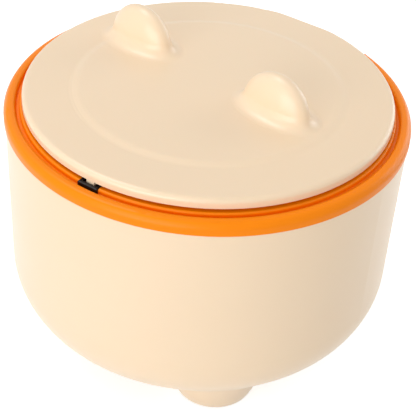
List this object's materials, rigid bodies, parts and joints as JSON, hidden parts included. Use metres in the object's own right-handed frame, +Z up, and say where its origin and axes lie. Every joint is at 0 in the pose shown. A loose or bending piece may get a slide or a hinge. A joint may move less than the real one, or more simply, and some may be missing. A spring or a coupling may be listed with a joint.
{
  "type": "litter disposal pail",
  "caption": "Round cream pail on stubby feet with an orange collar, a hinged push-latch lid with cat-ear grips, an inner lid with a seal and a lift-off bag ring.",
  "frame": {"origin": "on the floor, under the middle of the round pail", "axes": "+Z up, -Y towards the push latch, +Y towards the hinge, +X along the hinge pin"},
  "size_m": [0.17, 0.17, 0.1401],
  "materials": {
    "cream_plastic": "satin moulded ABS",
    "orange_plastic": "satin moulded ABS",
    "white_plastic": "smooth moulded polypropylene",
    "black_plastic": "fine-grained acetal",
    "seal_rubber": "soft silicone",
    "pad_rubber": "matt rubber",
    "pin_steel": "drawn steel",
    "spring_steel": "bright spring wire",
    "screw_steel": "zinc plated"
  },
  "bodies": {
    "pail": {"tub": "cream_plastic", "foot_pad_front_right": "pad_rubber", "foot_pad_rear_right": "pad_rubber", "foot_pad_rear_left": "pad_rubber", "foot_pad_front_left": "pad_rubber"},
    "ring": {"collar": "orange_plastic", "hinge_pin": "pin_steel", "hinge_spring_left": "spring_steel", "hinge_spring_right": "spring_steel", "latch_housing": "black_plastic", "latch_cap": "black_plastic", "latch_spring": "spring_steel", "latch_track_wire": "spring_steel", "latch_screws": "screw_steel"},
    "cover": {"lid": "cream_plastic", "lid_liner": "white_plastic", "lid_seal": "seal_rubber", "liner_screws": "screw_steel"},
    "push_slider": {"latch_slider": "black_plastic"}
  },
  "joints": [
    {"name": "collar_lift", "type": "slide", "parent": "pail", "child": "ring", "axis": [0, 0, 1], "range_m": [0, 0.06]},
    {"name": "lid_hinge", "type": "hinge", "parent": "ring", "child": "cover", "pos_m": [0, 0.0743, 0.1132], "axis": [-1, 0, 0], "range_deg": [0, 95], "deforming": ["hinge_spring_left", "hinge_spring_right"]},
    {"name": "latch_press", "type": "slide", "parent": "ring", "child": "push_slider", "axis": [0, 0, -1], "range_m": [0, 0.0015], "stiffness_N_per_m": 50, "springref_m": -0.001, "deforming": ["latch_spring"]}
  ]
}
